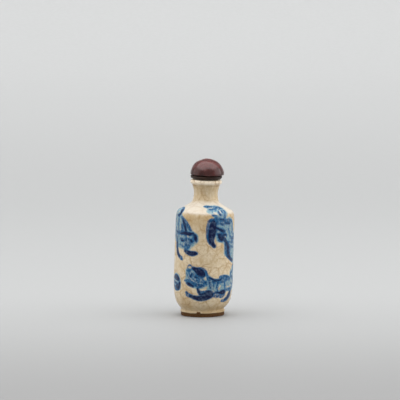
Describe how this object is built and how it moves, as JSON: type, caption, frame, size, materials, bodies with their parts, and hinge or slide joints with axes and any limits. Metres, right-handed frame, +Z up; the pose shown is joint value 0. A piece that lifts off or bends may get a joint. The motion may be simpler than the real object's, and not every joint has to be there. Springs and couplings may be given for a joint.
{
  "type": "snuff bottle",
  "caption": "Small cylindrical glazed porcelain snuff bottle with a waisted neck, bare foot ring and a domed stone stopper on a dark collar.",
  "frame": {"origin": "on the surface the bottle stands on, under the middle of its footprint seen from above", "axes": "+Z up through the stopper; the body leans about 1.7 degrees towards +X, and the pictured side faces -Y"},
  "size_m": [0.0312, 0.0306, 0.0811],
  "materials": {
    "crackle_glaze": "glossy ivory crackle glaze over blue painting, with a bare brown foot",
    "dark_horn": "polished near-black horn",
    "maroon_hardstone": "polished opaque maroon hardstone",
    "cork": "plain cut cork"
  },
  "bodies": {
    "root": {"bottle": "crackle_glaze", "stopper_collar": "dark_horn", "stopper_dome": "maroon_hardstone", "stopper_cork": "cork"}
  },
  "joints": []
}
